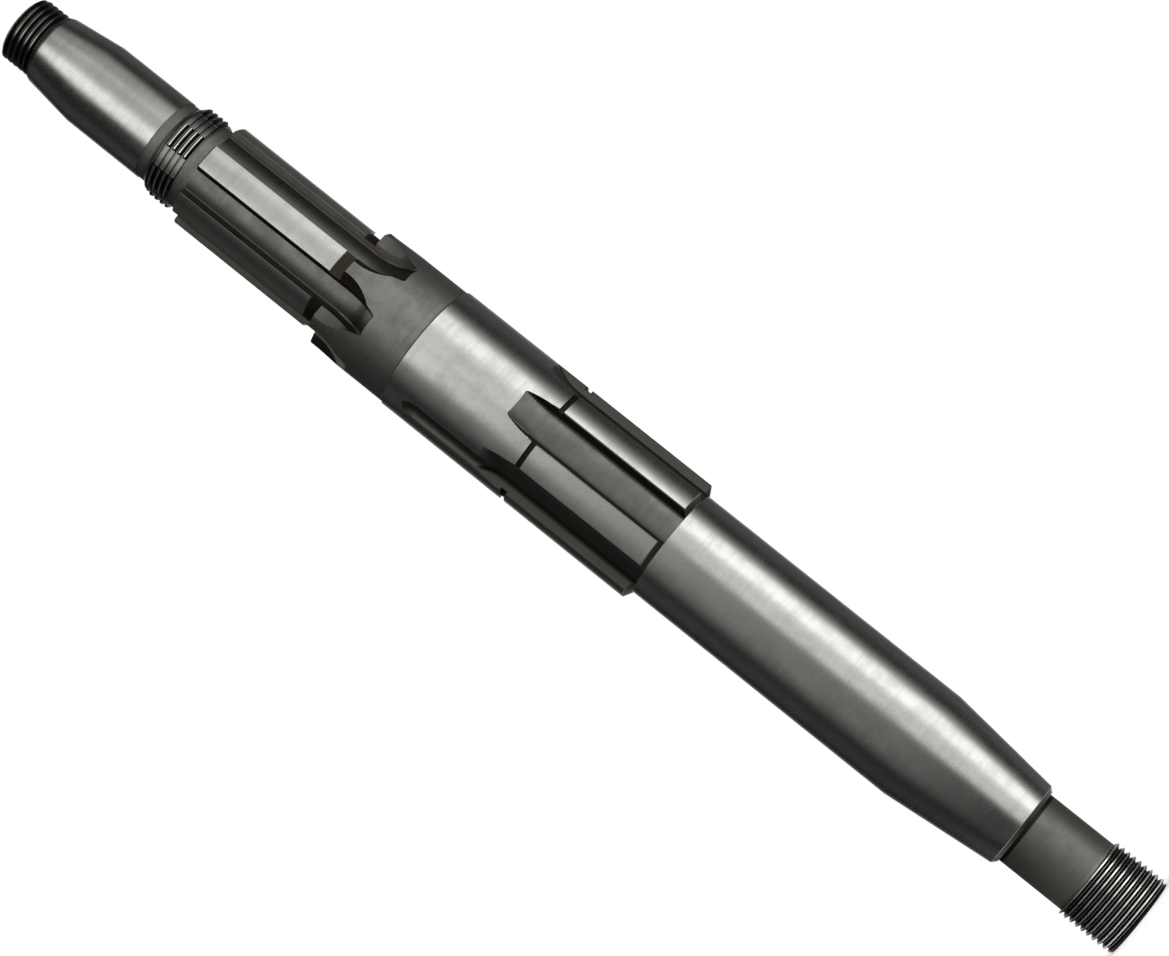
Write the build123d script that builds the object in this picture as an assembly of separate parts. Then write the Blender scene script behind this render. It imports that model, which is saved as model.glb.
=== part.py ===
from build123d import *
import math
import os

# A gearbox shaft with two sets of splines, turned, hobbed and ground from one steel bar.
# The shaft stands on its lower end face. The origin is the centre of that face and +Z runs up the axis.
# Sizes are in millimetres and angles in degrees.
# The threads are plain cylinders at their crest diameter.

# Lengths along the axis, from the lower end face up
LOWER_THREAD_LENGTH = 14.0
LOWER_NECK_LENGTH = 17.1
LOWER_TAPER_LENGTH = 28.0
LONG_JOURNAL_LENGTH = 69.9
WIDE_JOURNAL_LENGTH = 70.1
SHOULDER_LENGTH = 21.9
RELIEF_LENGTH = 3.1
NARROW_SPLINE_LENGTH = 38.0
THREAD_RELIEF_LENGTH = 3.0
COLLAR_THREAD_LENGTH = 7.5
SEAT_BAND_LENGTH = 2.3
BEARING_SEAT_LENGTH = 20.6
UPPER_TAPER_LENGTH = 12.7
UPPER_CHAMFER_LENGTH = 1.3
UPPER_THREAD_LENGTH = 7.5

# Diameters of the turned and ground lengths
LOWER_THREAD_DIAMETER = 19.8
LOWER_NECK_DIAMETER = 18.0
LOWER_TAPER_SMALL_DIAMETER = 21.1
LONG_JOURNAL_DIAMETER = 26.7
WIDE_JOURNAL_DIAMETER = 31.2
SHOULDER_DIAMETER = 30.5
RELIEF_DIAMETER = 25.0
NARROW_SPLINE_DIAMETER = 26.2
THREAD_RELIEF_DIAMETER = 21.5
COLLAR_THREAD_DIAMETER = 23.6
BEARING_SEAT_DIAMETER = 20.7
SEAT_BAND_UNDERSIZE = 0.2
UPPER_TAPER_SMALL_DIAMETER = 17.5
UPPER_THREAD_DIAMETER = 16.3

# Edge breaks, each as a length along the axis and a depth towards it
LOWER_END_CHAMFER = (0.8, 0.7)
UPPER_END_CHAMFER = (0.6, 0.8)
LOWER_TAPER_CHAMFER = (1.0, 1.0)
WIDE_TOOTH_CHAMFER_LENGTH = 1.25
WIDE_JOURNAL_CHAMFER_LENGTH = 0.35
SHOULDER_CHAMFER = (0.3, 0.3)
NARROW_TOOTH_CHAMFER = (0.35, 0.35)
COLLAR_THREAD_LOWER_CHAMFER = (0.5, 0.6)
COLLAR_THREAD_UPPER_LEAD = 1.8

# Both splines have parallel-sided teeth, and a hob of this radius leaves each groove's curved end
TOOTH_COUNT = 6
HOB_RADIUS = 14.5

# Wide splines, at the lower end of the wide journal
WIDE_TOOTH_WIDTH = 6.8
WIDE_GROOVE_UNDERCUT = 0.2
WIDE_GROOVE_LENGTH = 44.0

# Narrow splines, whose grooves run past the shoulder's face and open out in it
NARROW_TOOTH_WIDTH = 6.25
NARROW_ROOT_DIAMETER = 22.4
NARROW_GROOVE_REACH = 11.3
FLARE_CLEARANCE = 0.1
FLARE_ANGLE = 62.0

# Angles round the axis, from -Y and turning towards -X
WIDE_TOOTH_ANGLE = 31.4
OIL_SLOT_ANGLE = 67.5

# Groove for a retaining ring, round the wide splines
RING_GROOVE_OFFSET = 35.45
RING_GROOVE_WIDTH = 1.3
RING_GROOVE_DEPTH = 0.65

# Oil slot, milled in the wide journal from the end of a spline groove
OIL_SLOT_LENGTH = 21.1
OIL_SLOT_WIDTH = 4.3
OIL_SLOT_DEPTH = 1.2
OIL_CUTTER_RADIUS = 8.6
OIL_SLOT_OVERLAP = 3.0

# Lathe centres in both end faces
CENTRE_MOUTH_DIAMETER = 6.0
CENTRE_PILOT_DIAMETER = 2.5
CENTRE_PILOT_LENGTH = 3.0
CENTRE_ANGLE = 60.0

# How far a cutting tool stands outside the metal
TOOL_CLEARANCE = 2.0

# Heights of the shoulders between the lengths
LOWER_THREAD_TOP = LOWER_THREAD_LENGTH
LOWER_TAPER_BASE = LOWER_THREAD_TOP + LOWER_NECK_LENGTH
LONG_JOURNAL_BASE = LOWER_TAPER_BASE + LOWER_TAPER_LENGTH
WIDE_JOURNAL_BASE = LONG_JOURNAL_BASE + LONG_JOURNAL_LENGTH
SHOULDER_BASE = WIDE_JOURNAL_BASE + WIDE_JOURNAL_LENGTH
SHOULDER_FACE = SHOULDER_BASE + SHOULDER_LENGTH
NARROW_SPLINE_BASE = SHOULDER_FACE + RELIEF_LENGTH
NARROW_SPLINE_TOP = NARROW_SPLINE_BASE + NARROW_SPLINE_LENGTH
COLLAR_THREAD_BASE = NARROW_SPLINE_TOP + THREAD_RELIEF_LENGTH
COLLAR_THREAD_TOP = COLLAR_THREAD_BASE + COLLAR_THREAD_LENGTH
BEARING_SEAT_BASE = COLLAR_THREAD_TOP + SEAT_BAND_LENGTH
UPPER_TAPER_BASE = BEARING_SEAT_BASE + BEARING_SEAT_LENGTH
UPPER_CHAMFER_BASE = UPPER_TAPER_BASE + UPPER_TAPER_LENGTH
UPPER_THREAD_BASE = UPPER_CHAMFER_BASE + UPPER_CHAMFER_LENGTH
SHAFT_LENGTH = UPPER_THREAD_BASE + UPPER_THREAD_LENGTH


def run_out_length(depth, cutter_radius):
    """Length over which a round cutter climbs out of a cut of the given depth."""
    return math.sqrt(2 * cutter_radius * depth - depth * depth)


def shaft_outline():
    """Half section of the turned shaft, as (radius, height) points from the bottom to the top."""
    lower_end_length, lower_end_depth = LOWER_END_CHAMFER
    upper_end_length, upper_end_depth = UPPER_END_CHAMFER
    taper_length, taper_depth = LOWER_TAPER_CHAMFER
    shoulder_length, shoulder_depth = SHOULDER_CHAMFER
    tooth_length, tooth_depth = NARROW_TOOTH_CHAMFER
    collar_length, collar_depth = COLLAR_THREAD_LOWER_CHAMFER
    lower_thread = LOWER_THREAD_DIAMETER / 2
    lower_neck = LOWER_NECK_DIAMETER / 2
    taper_small = LOWER_TAPER_SMALL_DIAMETER / 2
    long_journal = LONG_JOURNAL_DIAMETER / 2
    wide_journal = WIDE_JOURNAL_DIAMETER / 2
    shoulder = SHOULDER_DIAMETER / 2
    relief = RELIEF_DIAMETER / 2
    narrow_spline = NARROW_SPLINE_DIAMETER / 2
    thread_relief = THREAD_RELIEF_DIAMETER / 2
    collar_thread = COLLAR_THREAD_DIAMETER / 2
    bearing_seat = BEARING_SEAT_DIAMETER / 2
    seat_band = bearing_seat - SEAT_BAND_UNDERSIZE
    upper_thread = UPPER_THREAD_DIAMETER / 2
    return [
        (0, 0),
        (lower_thread - lower_end_depth, 0),
        (lower_thread, lower_end_length),
        (lower_thread, LOWER_THREAD_TOP),
        (lower_neck, LOWER_THREAD_TOP),
        (lower_neck, LOWER_TAPER_BASE),
        (taper_small - taper_depth, LOWER_TAPER_BASE),
        (taper_small, LOWER_TAPER_BASE + taper_length),
        (long_journal, LONG_JOURNAL_BASE),
        (long_journal, WIDE_JOURNAL_BASE),
        (wide_journal, WIDE_JOURNAL_BASE + WIDE_TOOTH_CHAMFER_LENGTH),
        (wide_journal, SHOULDER_BASE - WIDE_JOURNAL_CHAMFER_LENGTH),
        (shoulder, SHOULDER_BASE),
        (shoulder, SHOULDER_FACE - shoulder_length),
        (shoulder - shoulder_depth, SHOULDER_FACE),
        (relief, SHOULDER_FACE),
        (relief, NARROW_SPLINE_BASE),
        (narrow_spline, NARROW_SPLINE_BASE),
        (narrow_spline, NARROW_SPLINE_TOP - tooth_length),
        (narrow_spline - tooth_depth, NARROW_SPLINE_TOP),
        (thread_relief, NARROW_SPLINE_TOP),
        (thread_relief, COLLAR_THREAD_BASE),
        (collar_thread - collar_depth, COLLAR_THREAD_BASE),
        (collar_thread, COLLAR_THREAD_BASE + collar_length),
        (collar_thread, COLLAR_THREAD_TOP - COLLAR_THREAD_UPPER_LEAD),
        (seat_band, COLLAR_THREAD_TOP),
        (seat_band, BEARING_SEAT_BASE),
        (bearing_seat, BEARING_SEAT_BASE),
        (bearing_seat, UPPER_TAPER_BASE),
        (UPPER_TAPER_SMALL_DIAMETER / 2, UPPER_CHAMFER_BASE),
        (upper_thread, UPPER_THREAD_BASE),
        (upper_thread, SHAFT_LENGTH - upper_end_length),
        (upper_thread - upper_end_depth, SHAFT_LENGTH),
        (0, SHAFT_LENGTH),
    ]


def turned_shaft():
    """The shaft as it leaves the lathe, with no splines."""
    with BuildPart() as shaft:
        with BuildSketch(Plane.XZ):
            with BuildLine():
                Polyline(*shaft_outline(), close=True)
            make_face()
        revolve(axis=Axis.Z)
    return shaft.part


def flank_point(tooth_width, radius):
    """Where a groove's flank crosses a radius, with the groove's middle on +X.

    The flank is parallel to the middle plane of the tooth beside it, half a tooth from that plane.
    """
    half_tooth = tooth_width / 2
    half_step = math.radians(180 / TOOTH_COUNT)
    along_tooth = math.sqrt(radius * radius - half_tooth * half_tooth)
    x = along_tooth * math.cos(half_step) + half_tooth * math.sin(half_step)
    y = along_tooth * math.sin(half_step) - half_tooth * math.cos(half_step)
    return x, y


def groove_section(root_radius, tooth_width, flank_radius, outer_radius, flare_angle):
    """Section of one spline groove: round root, two flanks, and flares from the flanks outwards."""
    root_x, root_y = flank_point(tooth_width, root_radius)
    flank_x, flank_y = flank_point(tooth_width, flank_radius)
    flare_x = outer_radius
    flare_y = flank_y + (flare_x - flank_x) * math.tan(math.radians(flare_angle))
    with BuildSketch() as section:
        with BuildLine():
            ThreePointArc((root_x, -root_y), (root_radius, 0), (root_x, root_y))
            Polyline((root_x, root_y), (flank_x, flank_y), (flare_x, flare_y))
            Line((flare_x, flare_y), (flare_x, -flare_y))
            Polyline((flare_x, -flare_y), (flank_x, -flank_y), (root_x, -root_y))
        make_face()
    return section.sketch


def groove_cutter(section, root_radius, start, stop, cutter_radius):
    """A groove's section drawn from start to stop, then swung out of the metal past stop."""
    direction = math.copysign(1, stop - start)
    straight = extrude(Pos(0, 0, start) * section, (stop - start) * direction, dir=(0, 0, direction))
    pivot = Axis((root_radius + cutter_radius, 0, stop), (0, direction, 0))
    curved = revolve(Pos(0, 0, stop) * section, pivot, 90)
    return straight + curved


def around(cutter, first_angle):
    """Copies of a cutter made for +X, spaced round the shaft from an angle off -Y towards -X."""
    turn = -90 - first_angle
    step = 360 / TOOTH_COUNT
    return [Rot(0, 0, turn - index * step) * cutter for index in range(TOOTH_COUNT)]


def wide_groove_cutters():
    """The six cutters for the wide splines, which run out upwards in the wide journal."""
    root_radius = LONG_JOURNAL_DIAMETER / 2 - WIDE_GROOVE_UNDERCUT
    journal_radius = WIDE_JOURNAL_DIAMETER / 2
    section = groove_section(
        root_radius, WIDE_TOOTH_WIDTH, journal_radius, journal_radius + TOOL_CLEARANCE, 180 / TOOTH_COUNT
    )
    run_out = run_out_length(journal_radius - root_radius, HOB_RADIUS)
    stop = WIDE_JOURNAL_BASE + WIDE_GROOVE_LENGTH - run_out
    cutter = groove_cutter(section, root_radius, WIDE_JOURNAL_BASE, stop, HOB_RADIUS)
    return around(cutter, WIDE_TOOTH_ANGLE + 180 / TOOTH_COUNT)


def narrow_groove_cutters():
    """The six cutters for the narrow splines, which run out downwards in the shoulder."""
    root_radius = NARROW_ROOT_DIAMETER / 2
    shoulder_radius = SHOULDER_DIAMETER / 2
    flank_radius = NARROW_SPLINE_DIAMETER / 2 + FLARE_CLEARANCE
    section = groove_section(
        root_radius, NARROW_TOOTH_WIDTH, flank_radius, shoulder_radius + TOOL_CLEARANCE, FLARE_ANGLE
    )
    run_out = run_out_length(shoulder_radius - root_radius, HOB_RADIUS)
    stop = SHOULDER_FACE - NARROW_GROOVE_REACH + run_out
    cutter = groove_cutter(section, root_radius, COLLAR_THREAD_TOP + TOOL_CLEARANCE, stop, HOB_RADIUS)
    return around(cutter, 180 / TOOTH_COUNT)


def ring_groove_cutter():
    """A ring that cuts the retaining ring's groove."""
    outer = WIDE_JOURNAL_DIAMETER / 2 + TOOL_CLEARANCE
    inner = WIDE_JOURNAL_DIAMETER / 2 - RING_GROOVE_DEPTH
    ring = Cylinder(outer, RING_GROOVE_WIDTH) - Cylinder(inner, RING_GROOVE_WIDTH)
    return Pos(0, 0, WIDE_JOURNAL_BASE + RING_GROOVE_OFFSET) * ring


def oil_slot_cutter():
    """A round-nosed cutter for the oil slot, which climbs out of the journal at its top."""
    journal_radius = WIDE_JOURNAL_DIAMETER / 2
    floor_radius = journal_radius - OIL_SLOT_DEPTH
    half_width = OIL_SLOT_WIDTH / 2
    edge_height = math.sqrt(journal_radius ** 2 - half_width ** 2) - floor_radius
    nose = (half_width ** 2 + edge_height ** 2) / (2 * edge_height)
    with BuildSketch() as section:
        with Locations((floor_radius + nose, 0)):
            Circle(nose)
    groove_end = WIDE_JOURNAL_BASE + WIDE_GROOVE_LENGTH
    stop = groove_end + OIL_SLOT_LENGTH - run_out_length(OIL_SLOT_DEPTH, OIL_CUTTER_RADIUS)
    start = groove_end - OIL_SLOT_OVERLAP
    cutter = groove_cutter(section.sketch, floor_radius, start, stop, OIL_CUTTER_RADIUS)
    return Rot(0, 0, -90 - OIL_SLOT_ANGLE) * cutter


def centre_cutter():
    """A centre drill that points up, with its mouth at the origin's height."""
    mouth = CENTRE_MOUTH_DIAMETER / 2
    pilot = CENTRE_PILOT_DIAMETER / 2
    cone_depth = (mouth - pilot) / math.tan(math.radians(CENTRE_ANGLE / 2))
    cone = Pos(0, 0, cone_depth / 2) * Cone(mouth, pilot, cone_depth)
    drill = Pos(0, 0, cone_depth + CENTRE_PILOT_LENGTH / 2) * Cylinder(pilot, CENTRE_PILOT_LENGTH)
    return cone + drill


def splined_shaft():
    """The finished shaft, as one solid."""
    shaft = turned_shaft()
    for cutter in wide_groove_cutters() + narrow_groove_cutters():
        shaft -= cutter
    shaft -= ring_groove_cutter()
    shaft -= oil_slot_cutter()
    shaft -= centre_cutter()
    shaft -= Pos(0, 0, SHAFT_LENGTH) * Rot(180, 0, 0) * centre_cutter()
    return shaft


os.makedirs("parts", exist_ok=True)
export_step(splined_shaft(), "parts/splined_shaft.step")
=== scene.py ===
"""The looks of a gearbox shaft with two sets of splines, built the way it is machined.

A blank is turned, threads are cut round it, spline grooves are hobbed along it and an oil slot is
milled beside one of them. Lengths are in millimetres until a mesh is made, and heights run up the
axis from the lower end face.
"""

from __future__ import annotations

import logging
import math
from dataclasses import dataclass
from enum import Enum
from itertools import pairwise
from typing import Any, Iterable, Iterator, Sequence

import bpy
import bmesh
from mathutils import Matrix, Vector

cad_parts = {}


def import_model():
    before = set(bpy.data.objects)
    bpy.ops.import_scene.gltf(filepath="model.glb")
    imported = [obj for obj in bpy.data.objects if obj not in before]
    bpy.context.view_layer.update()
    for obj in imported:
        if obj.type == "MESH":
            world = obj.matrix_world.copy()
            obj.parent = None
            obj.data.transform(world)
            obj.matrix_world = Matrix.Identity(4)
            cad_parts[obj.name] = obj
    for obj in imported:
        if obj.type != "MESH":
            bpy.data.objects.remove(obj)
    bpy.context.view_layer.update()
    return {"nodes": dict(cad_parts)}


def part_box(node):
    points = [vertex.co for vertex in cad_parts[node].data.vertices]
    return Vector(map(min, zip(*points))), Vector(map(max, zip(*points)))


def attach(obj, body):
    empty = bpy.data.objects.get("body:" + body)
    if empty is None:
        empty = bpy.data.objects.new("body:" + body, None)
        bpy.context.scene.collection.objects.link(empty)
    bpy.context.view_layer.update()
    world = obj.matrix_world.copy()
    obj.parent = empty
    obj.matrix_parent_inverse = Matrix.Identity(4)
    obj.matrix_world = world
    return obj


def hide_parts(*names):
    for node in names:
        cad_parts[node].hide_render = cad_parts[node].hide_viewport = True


MM = 0.001
ROUND = 240
LOG = logging.getLogger("splined_shaft")

Colour = tuple[float, float, float]
Point = tuple[float, float]
Place = tuple[float, float, float]


def round_point(radius: float, angle: float, height: float) -> Place:
    """The point at a radius, an angle in radians and a height."""
    return radius * math.cos(angle), radius * math.sin(angle), height


# Node expressions


class Value:
    """A number that varies over a surface, which can be used in Python expressions."""

    def __init__(self, tree: "NodeTree", socket: bpy.types.NodeSocket) -> None:
        """Wraps an output socket.

        Args:
            tree: the node tree that the socket belongs to.
            socket: the output socket that gives the number.
        """
        self.tree = tree
        self.socket = socket

    def _math(self, operation: str, *terms: "Number") -> "Value":
        """Adds a Math node.

        Args:
            operation: the Math node's operation.
            terms: its inputs, in order.

        Returns:
            The node's result.
        """
        values = {index: term for index, term in enumerate(terms)}
        return self.tree.value("ShaderNodeMath", values, operation=operation)

    def __add__(self, other: "Number") -> "Value":
        """Self plus other."""
        return self._math("ADD", self, other)

    def __radd__(self, other: "Number") -> "Value":
        """Other plus self."""
        return self._math("ADD", other, self)

    def __sub__(self, other: "Number") -> "Value":
        """Self minus other."""
        return self._math("SUBTRACT", self, other)

    def __rsub__(self, other: "Number") -> "Value":
        """Other minus self."""
        return self._math("SUBTRACT", other, self)

    def __mul__(self, other: "Number") -> "Value":
        """Self times other."""
        return self._math("MULTIPLY", self, other)

    def __rmul__(self, other: "Number") -> "Value":
        """Other times self."""
        return self._math("MULTIPLY", other, self)

    def __truediv__(self, other: "Number") -> "Value":
        """Self divided by other."""
        return self._math("DIVIDE", self, other)

    def __rtruediv__(self, other: "Number") -> "Value":
        """Other divided by self."""
        return self._math("DIVIDE", other, self)

    def __pow__(self, other: "Number") -> "Value":
        """Self to the power of other."""
        return self._math("POWER", self, other)

    def __rpow__(self, other: "Number") -> "Value":
        """Other to the power of self."""
        return self._math("POWER", other, self)

    def size(self) -> "Value":
        """Self without its sign."""
        return self._math("ABSOLUTE", self)

    def part(self) -> "Value":
        """What self has beyond a whole number."""
        return self._math("FRACT", self)

    def turn_from(self, ahead: "Number") -> "Value":
        """The angle in degrees of a point that lies self to the side and ahead in front."""
        return self._math("ARCTAN2", self, ahead) * math.degrees(1)

    def most(self, other: "Number") -> "Value":
        """The larger of self and other."""
        return self._math("MAXIMUM", self, other)

    def least(self, other: "Number") -> "Value":
        """The smaller of self and other."""
        return self._math("MINIMUM", self, other)

    def rise(self, low: float, high: float) -> "Value":
        """A smooth step.

        Args:
            low: where the step starts, at 0.
            high: where the step ends, at 1. Where it is below low, the step falls.

        Returns:
            A number from 0 to 1.
        """
        values = {"Value": self, "From Min": low, "From Max": high}
        return self.tree.value("ShaderNodeMapRange", values, interpolation_type="SMOOTHSTEP")

    def band(self, low: float, high: float, soft: float) -> "Value":
        """A smooth window.

        Args:
            low: the window's lower edge.
            high: its upper edge.
            soft: how wide each edge's step is, with the edge at its middle.

        Returns:
            1 inside the window and 0 outside it.
        """
        half = soft / 2
        return self.rise(low - half, low + half) * self.rise(high + half, high - half)


Number = Value | float


class NodeTree:
    """A material's or a world's nodes."""

    MIX_SHARE, MIX_FIRST, MIX_SECOND, MIX_COLOUR = 0, 6, 7, 2

    def __init__(self, tree: bpy.types.NodeTree) -> None:
        """Empties a node tree.

        Args:
            tree: the tree to fill.
        """
        self.tree = tree
        tree.nodes.clear()

    @classmethod
    def material(cls, name: str) -> tuple[bpy.types.Material, "NodeTree"]:
        """A new material and its empty tree."""
        material = bpy.data.materials.new(name)
        material.use_nodes = True
        return material, cls(material.node_tree)

    def node(
        self, kind: str, values: dict[Any, Any] | None = None, **settings: Any
    ) -> bpy.types.Node:
        """Adds a node of any type.

        Args:
            kind: the node's type.
            values: a number, colour, Value or socket for each input, by the input's name or index.
            settings: the node's own properties, which are set first.

        Returns:
            The new node.
        """
        node = self.tree.nodes.new(kind)
        for name, setting in settings.items():
            setattr(node, name, setting)
        for name, value in (values or {}).items():
            socket = value.socket if isinstance(value, Value) else value
            if isinstance(socket, bpy.types.NodeSocket):
                self.tree.links.new(socket, node.inputs[name])
            else:
                node.inputs[name].default_value = socket
        return node

    def value(self, kind: str, values: dict[Any, Any] | None = None, **settings: Any) -> Value:
        """Adds a node and takes its first output.

        Args:
            kind: the node's type.
            values: its inputs, as node() takes them.
            settings: its properties, as node() takes them.

        Returns:
            The output as a Value.
        """
        return Value(self, self.node(kind, values, **settings).outputs[0])

    def mix(self, first: Any, second: Any, share: Number) -> bpy.types.NodeSocket:
        """Mixes two colours.

        Args:
            first: a colour or a colour socket.
            second: the same.
            share: how much of the second colour shows, from 0 to 1.

        Returns:
            The mixed colour's socket.
        """
        inputs = {
            self.MIX_SHARE: share,
            self.MIX_FIRST: self._rgba(first),
            self.MIX_SECOND: self._rgba(second),
        }
        return self.node("ShaderNodeMix", inputs, data_type="RGBA").outputs[self.MIX_COLOUR]

    @staticmethod
    def _rgba(colour: Any) -> Any:
        """A colour with its alpha, or the socket unchanged."""
        return (*colour, 1.0) if isinstance(colour, tuple) else colour


# Finishes


class Finish(Enum):
    """How a surface of the shaft was last worked."""

    TURNED = "turned_steel"
    GROUND = "ground_steel"
    HOBBED = "hobbed_steel"
    THREADED = "threaded_steel"


Outline = Sequence[tuple[float, float, Finish]]


@dataclass(frozen=True)
class Steel:
    """One finish of the steel.

    Attributes:
        colour: the clean metal.
        tarnish: the dull film that lies over parts of it; its colour also paints shade on groove
            sides and in threads.
        tarnish_share: how much of the surface the film covers.
        roughness: of the clean metal.
        tarnish_roughness: of the film.
        mark_pitch: the usual distance between tool marks, in millimetres.
        mark_depth: the marks' strength as bump.
        rust_share: how much of the surface has brown stains.
        dark_flanks: whether the film paints shade in a thread, between its crests and its roots and
            on its downward faces.
        dark_sides: how dark the painted shade on the grooves' upright sides is; where it is set,
            their corners also get dirt and painted shade.
    """

    colour: Colour
    tarnish: Colour
    tarnish_share: float
    roughness: float
    tarnish_roughness: float
    mark_pitch: float
    mark_depth: float
    rust_share: float
    dark_flanks: bool = False
    dark_sides: float = 0.0

    # Each layer of noise has its features per millimetre along X, Y and Z, and its octaves.
    STREAKS = ((0.05, 0.05, 0.9), 4.0)
    CLOUDS = ((0.22, 0.22, 0.16), 6.0)
    SPECKS = ((1.6, 1.6, 1.6), 4.0)
    STAINS = ((0.35, 0.35, 0.35), 7.0)
    MARKS_ROUND = 0.02
    MARKS_DETAIL = 3.0
    NOISE_GRAIN = 0.6
    BUMP_DISTANCE = 0.04 * MM

    FILM_LAYERS = (0.6, 0.25, 0.15)
    FILM_SPREAD = 0.16
    FILM_SOFT = 0.1
    RUST = (0.16, 0.095, 0.05)
    RUST_LAYERS = (0.75, 0.25)
    RUST_EDGES = (0.74, 0.86)
    RUST_REACH = 0.3
    RUST_COVER = 0.7
    RUST_ROUGHNESS = 0.25
    # The painted shade on the grooves' upright sides, and the dirt and painted shade in their
    # corners.
    SIDE_SHADE = (0.02, 0.018, 0.013)
    CORNER_DIRT_AND_SHADE = (0.03, 0.024, 0.014)
    EDGE_SHEEN = (0.7, 0.7, 0.7, 1.0)
    SIDE_EDGES = (0.8, 0.45)
    UPRIGHT_EDGES = (0.5, 0.2)
    MARK_ROUGHNESS = 0.1
    SPECK_HEIGHT = 0.3

    # The plain lengths where one thread or spline gives way to the next one up.
    ABOVE_LOWER_THREAD = (99.0, 101.0)
    ABOVE_WIDE_SPLINE = (199.0, 201.0)
    ABOVE_COLLAR_THREAD = (299.0, 301.0)
    LOWER_CREST = 9.9
    COLLAR_CREST_RISE = 1.9
    UPPER_CREST_DROP = 3.65
    # Where a thread's painted shade starts below the crests and thins at the roots, and how far down
    # a face must look to be painted as shade.
    FLANK_EDGES = (0.12, 0.35)
    ROOT_EDGES = (0.78, 0.86)
    COLLAR_ROOT_RISE = 0.26
    ROOT_SHINE = 0.32
    UNDERSIDE_EDGES = (0.08, 0.3)

    GROOVE_STEP = 60.0
    GROOVE_TURNS = 6.5
    WIDE_GROOVE_ANGLE = 28.6
    NARROW_CORNER_TURN = 1.2
    NARROW_CORNER_DROP = 1.95
    CORNER_RADII = (13.75, 13.45)
    CORNER_ANGLES = (12.4, 15.0)
    CORNER_COVER = 0.75

    def material(self, name: str) -> bpy.types.Material:
        """Makes the finish's material.

        Args:
            name: the material's name.

        Returns:
            The material.
        """
        material, tree = NodeTree.material(name)
        place = tree.node("ShaderNodeTexCoord").outputs["Object"]
        mark_scale = (self.MARKS_ROUND, self.MARKS_ROUND, 1 / self.mark_pitch)
        marks = self._noise(tree, place, mark_scale, self.MARKS_DETAIL)
        specks = self._noise(tree, place, *self.SPECKS)

        parts = tree.node("ShaderNodeSeparateXYZ", {0: place}).outputs
        across, along, height = (Value(tree, parts[axis]) / MM for axis in "XYZ")
        radius = (across * across + along * along) ** 0.5
        facing = tree.node("ShaderNodeNewGeometry").outputs["Normal"]
        facings = tree.node("ShaderNodeSeparateXYZ", {0: facing}).outputs
        facing_x, facing_y, facing_z = (Value(tree, facings[axis]) for axis in "XYZ")
        outward = (facing_x * across + facing_y * along) / radius

        film, rust = self._film_and_rust(tree, place, specks)
        # In threads the film also paints shade.
        if self.dark_flanks:
            film = self._thread_film_and_shade(film, radius, height, facing_z)
        # Painted shade on upright groove sides: towards the film colour, and darker still where
        # dark_sides is set.
        upright = facing_z.size().rise(*self.UPRIGHT_EDGES)
        flank = outward.size().rise(*self.SIDE_EDGES) * upright
        metal = tree.mix(self.colour, self.tarnish, film)
        metal = tree.mix(metal, self.RUST, rust * self.RUST_COVER)
        metal = tree.mix(metal, self.tarnish, flank)
        metal = tree.mix(metal, self.SIDE_SHADE, flank * self.dark_sides)
        # Dirt and painted shade in the grooves' corners, beside their flanks.
        if self.dark_sides:
            metal = tree.mix(metal, self.CORNER_DIRT_AND_SHADE, self._corner_dirt_and_shade(across, along, radius, height))
        # Dark rings: some are dirt, stain and oxide, some painted shade.
        for grime_and_shade in GRIME_AND_SHADE:
            metal = tree.mix(metal, grime_and_shade.colour, grime_and_shade.mask(radius, height))
        rough = film * (self.tarnish_roughness - self.roughness) + self.roughness
        rough = rough + (marks - 0.5) * self.MARK_ROUGHNESS + rust * self.RUST_ROUGHNESS
        bump = tree.node(
            "ShaderNodeBump",
            {
                "Height": marks + specks * self.SPECK_HEIGHT,
                "Strength": self.mark_depth,
                "Distance": self.BUMP_DISTANCE,
            },
        )
        surface = tree.node(
            "ShaderNodeBsdfPrincipled",
            {
                "Base Color": metal,
                "Roughness": rough,
                "Metallic": 1.0,
                "Normal": bump.outputs[0],
                "Specular Tint": self.EDGE_SHEEN,
            },
        )
        tree.node("ShaderNodeOutputMaterial", {"Surface": surface.outputs[0]})
        return material

    def _film_and_rust(
        self, tree: NodeTree, place: bpy.types.NodeSocket, specks: Value
    ) -> tuple[Value, Value]:
        """Where the dull film and the brown stains lie.

        Args:
            tree: the tree to add them to.
            place: the surface point's coordinates, in metres.
            specks: the finest noise.

        Returns:
            The film and the stains, each from 0 to 1.
        """
        clouds = self._noise(tree, place, *self.CLOUDS)
        streaks = self._noise(tree, place, *self.STREAKS)
        stains = self._noise(tree, place, *self.STAINS)
        cloud_share, streak_share, speck_share = self.FILM_LAYERS
        middle = 0.5 + self.FILM_SPREAD * (0.5 - self.tarnish_share) * 2
        film = clouds * cloud_share + streaks * streak_share + specks * speck_share
        stain_share, speck_share = self.RUST_LAYERS
        rust = stains * stain_share + specks * speck_share
        low, high = (edge - self.RUST_REACH * self.rust_share for edge in self.RUST_EDGES)
        return film.rise(middle - self.FILM_SOFT, middle + self.FILM_SOFT), rust.rise(low, high)

    def _thread_film_and_shade(self, film: Value, radius: Value, height: Value, facing_z: Value) -> Value:
        """Paints shade in a thread with film: between its crests and its roots, thinner at the roots,
        and on every face that looks down.

        Args:
            film: the film that lies there already.
            radius: a point's distance from the axis.
            height: its height.
            facing_z: how far its surface faces up.

        Returns:
            A number from 0 to 1.
        """
        depth = self._root_depth(radius, height)
        crossed = height.rise(*self.ABOVE_LOWER_THREAD)
        roots = (depth + crossed * self.COLLAR_ROOT_RISE).rise(*self.ROOT_EDGES)
        film = film.most(depth.rise(*self.FLANK_EDGES) * (1.0 - roots * self.ROOT_SHINE))
        return film.most((facing_z * -1.0).rise(*self.UNDERSIDE_EDGES))

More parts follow.
